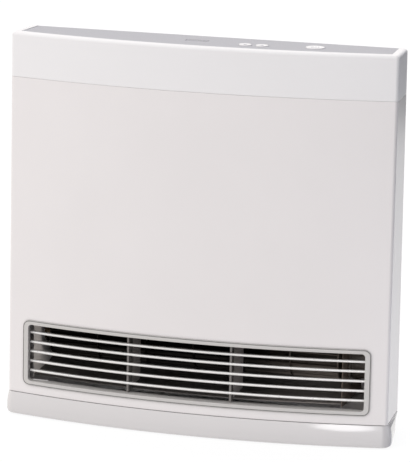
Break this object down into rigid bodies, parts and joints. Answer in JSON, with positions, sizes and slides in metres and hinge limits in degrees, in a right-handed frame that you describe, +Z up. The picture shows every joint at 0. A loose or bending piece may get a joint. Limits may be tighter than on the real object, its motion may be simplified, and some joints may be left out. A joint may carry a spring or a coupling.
{
  "type": "gas fan heater",
  "caption": "Slim bowed gas fan heater with a warm-air louvre at the foot, a control strip on top, a low base and a wall bracket behind.",
  "frame": {"origin": "middle of the heater's footprint, on the floor", "axes": "+Z up, the bowed front and its louvre face -Y, the wall is at +Y, +X to the right seen from the front"},
  "size_m": [0.4504, 0.14, 0.4405],
  "materials": {
    "white_paint": "semi-gloss warm white powder paint",
    "white_plastic": "glossy white moulding",
    "grey_plastic": "satin cool grey moulding",
    "base_plastic": "semi-gloss light grey-white moulding",
    "smoked_lens": "smoked translucent window",
    "satin_silver": "satin silver plating",
    "blade_metal": "bright satin silver",
    "filter_plastic": "dark grey moulding with a fine net",
    "circuit_board": "solder-masked laminate",
    "rubber": "matt",
    "galvanised": "zinc coated sheet",
    "aluminised": "aluminised steel, heat dulled",
    "fan_metal": "plain rolled aluminium",
    "bright_steel": "bright zinc plated",
    "bronze": "oil-filled sintered bronze",
    "brass": "machined",
    "copper": "drawn copper",
    "burner_steel": "stainless steel, heat tinted",
    "cast_alloy": "die-cast, as cast",
    "motor_paint": "grey lacquered can",
    "coil_tape": "varnished winding tape",
    "ceramic": "glazed alumina",
    "black_plastic": "matt moulding"
  },
  "bodies": {
    "cabinet": {"front_panel": "white_paint", "top_cover": "white_plastic", "control_fascia": "grey_plastic", "display_lens": "smoked_lens", "display_board": "circuit_board", "louvre_frame": "satin_silver", "louvre_blades": "blade_metal", "louvre_stays": "blade_metal", "base_stand": "base_plastic", "base_feet": "rubber", "rear_casing": "white_paint", "filter_guides": "grey_plastic", "wall_bracket": "galvanised", "wall_spacers": "rubber", "fan_scroll": "galvanised", "air_guide": "galvanised", "duct_vanes": "galvanised", "duct_end_left": "galvanised", "duct_end_right": "galvanised", "fan_bearing": "bronze", "fan_motor": "motor_paint", "combustion_chamber": "aluminised", "chamber_arms": "galvanised", "heat_baffle": "aluminised", "burner": "burner_steel", "burner_nozzle": "brass", "electrode_plate": "galvanised", "spark_electrode": "ceramic", "flame_rod": "ceramic", "gas_inlet": "brass", "gas_valve": "cast_alloy", "valve_coils": "coil_tape", "gas_pipe": "copper", "board_tray": "galvanised", "control_board": "circuit_board", "transformer": "coil_tape", "igniter_module": "black_plastic", "overheat_switch": "bright_steel", "tilt_switch": "black_plastic", "room_sensor": "white_plastic", "cord_gland": "black_plastic", "casing_screws": "bright_steel", "base_screws": "bright_steel", "board_screws": "bright_steel"},
    "fan": {"fan_rotor": "fan_metal", "fan_shaft": "bright_steel"},
    "power_key": {"power_button": "white_plastic"},
    "cooler_key": {"cooler_button": "white_plastic"},
    "warmer_key": {"warmer_button": "white_plastic"},
    "left_filter": {"filter_left": "filter_plastic"},
    "right_filter": {"filter_right": "filter_plastic"}
  },
  "joints": [
    {"name": "fan_spin", "type": "hinge", "parent": "cabinet", "child": "fan", "pos_m": [0, 0.02, 0.086], "axis": [1, 0, 0], "continuous": true},
    {"name": "power_press", "type": "slide", "parent": "cabinet", "child": "power_key", "axis": [0, 0, -1], "range_m": [0, 0.0012], "stiffness_N_per_m": 900, "springref_m": -0.001},
    {"name": "cooler_press", "type": "slide", "parent": "cabinet", "child": "cooler_key", "axis": [0, 0, -1], "range_m": [0, 0.0012], "stiffness_N_per_m": 700, "springref_m": -0.001},
    {"name": "warmer_press", "type": "slide", "parent": "cabinet", "child": "warmer_key", "axis": [0, 0, -1], "range_m": [0, 0.0012], "stiffness_N_per_m": 700, "springref_m": -0.001},
    {"name": "left_filter_lift", "type": "slide", "parent": "cabinet", "child": "left_filter", "axis": [0, 0, 1], "range_m": [0, 0.19]},
    {"name": "right_filter_lift", "type": "slide", "parent": "cabinet", "child": "right_filter", "axis": [0, 0, 1], "range_m": [0, 0.19]}
  ]
}
